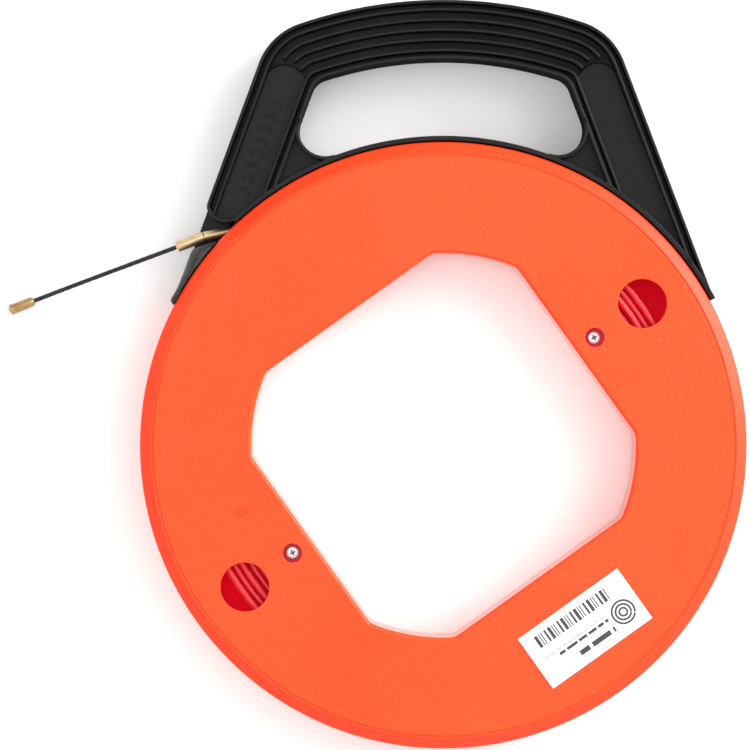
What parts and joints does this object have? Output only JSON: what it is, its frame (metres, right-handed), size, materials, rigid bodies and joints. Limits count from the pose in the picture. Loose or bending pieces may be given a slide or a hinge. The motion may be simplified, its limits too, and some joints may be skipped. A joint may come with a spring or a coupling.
{
  "type": "fish tape reel",
  "caption": "Round orange cable reel with a large central opening, turning in the rail of a black ribbed carrying handle, with a brass-tipped leader.",
  "frame": {"origin": "on the ground, under the middle of the box round case and handle, with the reel lying on its rear face", "axes": "+Z is the front face's normal, up; +Y runs from the reel towards the grip; +X is to the right seen from the front"},
  "size_m": [0.3773, 0.375, 0.0365],
  "materials": {
    "case": "satin, fine grained",
    "handle": "satin, lightly textured",
    "cable": "smooth sheath",
    "leader": "ribbed sheath",
    "brass": "turned",
    "zinc": "zinc plated",
    "label": "printed paper"
  },
  "bodies": {
    "handle": {"handle": "handle"},
    "reel": {"front_shell": "case", "rear_shell": "case", "case_screw_upper": "zinc", "case_screw_lower": "zinc", "label_sticker": "label", "cable_coil": "cable", "cable_tail": "cable", "anchor_sleeve": "zinc"},
    "tape_end": {"tape_lead": "cable", "tape_core": "zinc", "tape_ferrule": "brass", "leader_socket": "brass", "leader": "leader", "end_socket": "brass", "pulling_eye": "zinc"}
  },
  "joints": [
    {"name": "reel_spin", "type": "hinge", "parent": "handle", "child": "reel", "pos_m": [0, -0.03553, 0.018], "axis": [0, 0, 1], "continuous": true},
    {"name": "tape_pull", "type": "slide", "parent": "handle", "child": "tape_end", "axis": [-0.977, -0.213, 0], "range_m": [0, 0.08]}
  ]
}
